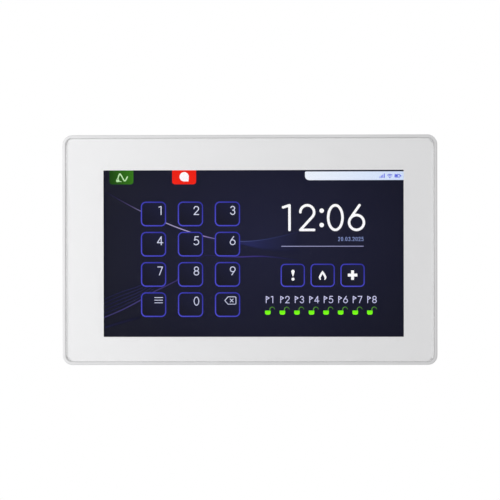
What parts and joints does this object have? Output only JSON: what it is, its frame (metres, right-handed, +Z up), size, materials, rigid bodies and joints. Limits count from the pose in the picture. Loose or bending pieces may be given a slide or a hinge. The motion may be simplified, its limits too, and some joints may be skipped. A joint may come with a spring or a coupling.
{
  "type": "alarm keypad panel",
  "caption": "Wall-mounted touch-screen alarm keypad in a slim white case that hangs on a hinged wall plate, with a lock, tamper contact and bus terminal.",
  "frame": {"origin": "centre of the four wall-screw holes, on the wall plate's back face, which is the wall", "axes": "+X to the right of someone reading the screen, +Z up, +Y into the wall, so the screen faces -Y"},
  "size_m": [0.1934, 0.022, 0.1188],
  "materials": {
    "plate": "moulded ABS, fine texture",
    "bezel": "moulded ABS, fine satin texture",
    "housing": "moulded ABS, fine texture",
    "lens": "polished, ground edges",
    "mask": "printed white film",
    "tape": "black foam tape",
    "sensor": "clear coated film",
    "display_steel": "pressed, bright",
    "foam": "closed-cell foam",
    "cell": "display, dark glass, lit",
    "light_film": "frosted film",
    "light_guide": "clear acrylic",
    "led_strip": "white strip with yellow light sources",
    "flex": "amber polyimide",
    "carrier_steel": "zinc-plated sheet",
    "screws": "zinc-plated",
    "brass": "turned",
    "board": "green solder mask",
    "chips": "black epoxy",
    "tinned": "tin-plated",
    "capacitors": "drawn can",
    "inductors": "moulded ferrite",
    "sockets": "ivory nylon",
    "terminal_green": "green nylon",
    "spring_steel": "bright spring steel",
    "buttons": "orange nylon",
    "switches": "black nylon",
    "plunger": "white acetal",
    "rubber": "black, self-adhesive",
    "basket": "black",
    "cone": "grey film",
    "magnet": "nickel-plated",
    "leads": "red insulated wire",
    "label": "blank brushed foil"
  },
  "bodies": {
    "plate": {"wall_plate": "plate", "hinge_pins": "spring_steel", "rattle_pads": "rubber"},
    "front_unit": {"front_bezel": "bezel", "rear_housing": "housing", "cover_lens": "lens", "border_mask": "mask", "lens_tape": "tape", "touch_sensor": "sensor", "display_frame": "display_steel", "backlight_tray": "display_steel", "display_gasket": "foam", "speaker_gasket": "foam", "display_cell": "cell", "light_sheets": "light_film", "reflector_sheet": "light_film", "light_guide": "light_guide", "led_strip": "led_strip", "display_flex": "flex", "touch_flex": "flex", "display_carrier": "carrier_steel", "housing_screws": "screws", "carrier_screws": "screws", "board_screws": "screws", "speaker_clamp_screws": "screws", "board_standoffs": "brass", "lock_insert": "brass", "main_board": "board", "processor": "chips", "memory_chips": "chips", "chip_legs": "tinned", "terminal_pins": "tinned", "shield_can": "tinned", "capacitors": "capacitors", "inductors": "inductors", "display_flex_socket": "sockets", "touch_flex_socket": "sockets", "speaker_socket": "sockets", "terminal_header": "terminal_green", "tamper_spring": "spring_steel", "speaker_clamp": "spring_steel", "tamper_switch": "switches", "reset_switch": "switches", "speaker_basket": "basket", "speaker_cone": "cone", "speaker_magnet": "magnet", "speaker_leads": "leads", "rating_label": "label"},
    "tamper_plunger": {"tamper_plunger": "plunger"},
    "lock_screw": {"lock_screw": "screws"},
    "terminal_plug": {"terminal_plug": "terminal_green", "terminal_clamps": "spring_steel"},
    "release_button_1": {"release_button_1": "buttons"},
    "release_button_2": {"release_button_2": "buttons"},
    "release_button_3": {"release_button_3": "buttons"},
    "release_button_4": {"release_button_4": "buttons"},
    "reset_button": {"reset_button": "plunger"}
  },
  "joints": [
    {"name": "unit_swing", "type": "hinge", "parent": "plate", "child": "front_unit", "pos_m": [0, -0.0075, 0.052], "axis": [-1, 0, 0], "range_deg": [0, 20]},
    {"name": "tamper_plunge", "type": "slide", "parent": "front_unit", "child": "tamper_plunger", "axis": [0, 1, 0], "range_m": [0, 0.00176], "stiffness_N_per_m": 60, "springref_m": 0.005, "deforming": ["tamper_spring"]},
    {"name": "lock_screw_drive", "type": "slide", "parent": "front_unit", "child": "lock_screw", "axis": [0, 0, 1], "range_m": [0, 0.0025]},
    {"name": "plug_pull", "type": "slide", "parent": "front_unit", "child": "terminal_plug", "axis": [0, 0, -1], "range_m": [0, 0.0065]},
    {"name": "release_press_1", "type": "slide", "parent": "terminal_plug", "child": "release_button_1", "axis": [0, -1, 0], "range_m": [0, 0.0008], "stiffness_N_per_m": 800, "springref_m": -0.0005},
    {"name": "release_press_2", "type": "slide", "parent": "terminal_plug", "child": "release_button_2", "axis": [0, -1, 0], "range_m": [0, 0.0008], "stiffness_N_per_m": 800, "springref_m": -0.0005},
    {"name": "release_press_3", "type": "slide", "parent": "terminal_plug", "child": "release_button_3", "axis": [0, -1, 0], "range_m": [0, 0.0008], "stiffness_N_per_m": 800, "springref_m": -0.0005},
    {"name": "release_press_4", "type": "slide", "parent": "terminal_plug", "child": "release_button_4", "axis": [0, -1, 0], "range_m": [0, 0.0008], "stiffness_N_per_m": 800, "springref_m": -0.0005},
    {"name": "reset_press", "type": "slide", "parent": "front_unit", "child": "reset_button", "axis": [0, -1, 0], "range_m": [0, 0.00025], "stiffness_N_per_m": 1500, "springref_m": -0.0002}
  ],
  "couplings": [
    {"joint": "tamper_plunge", "follows": "unit_swing", "m_per_rad": 0.005}
  ]
}
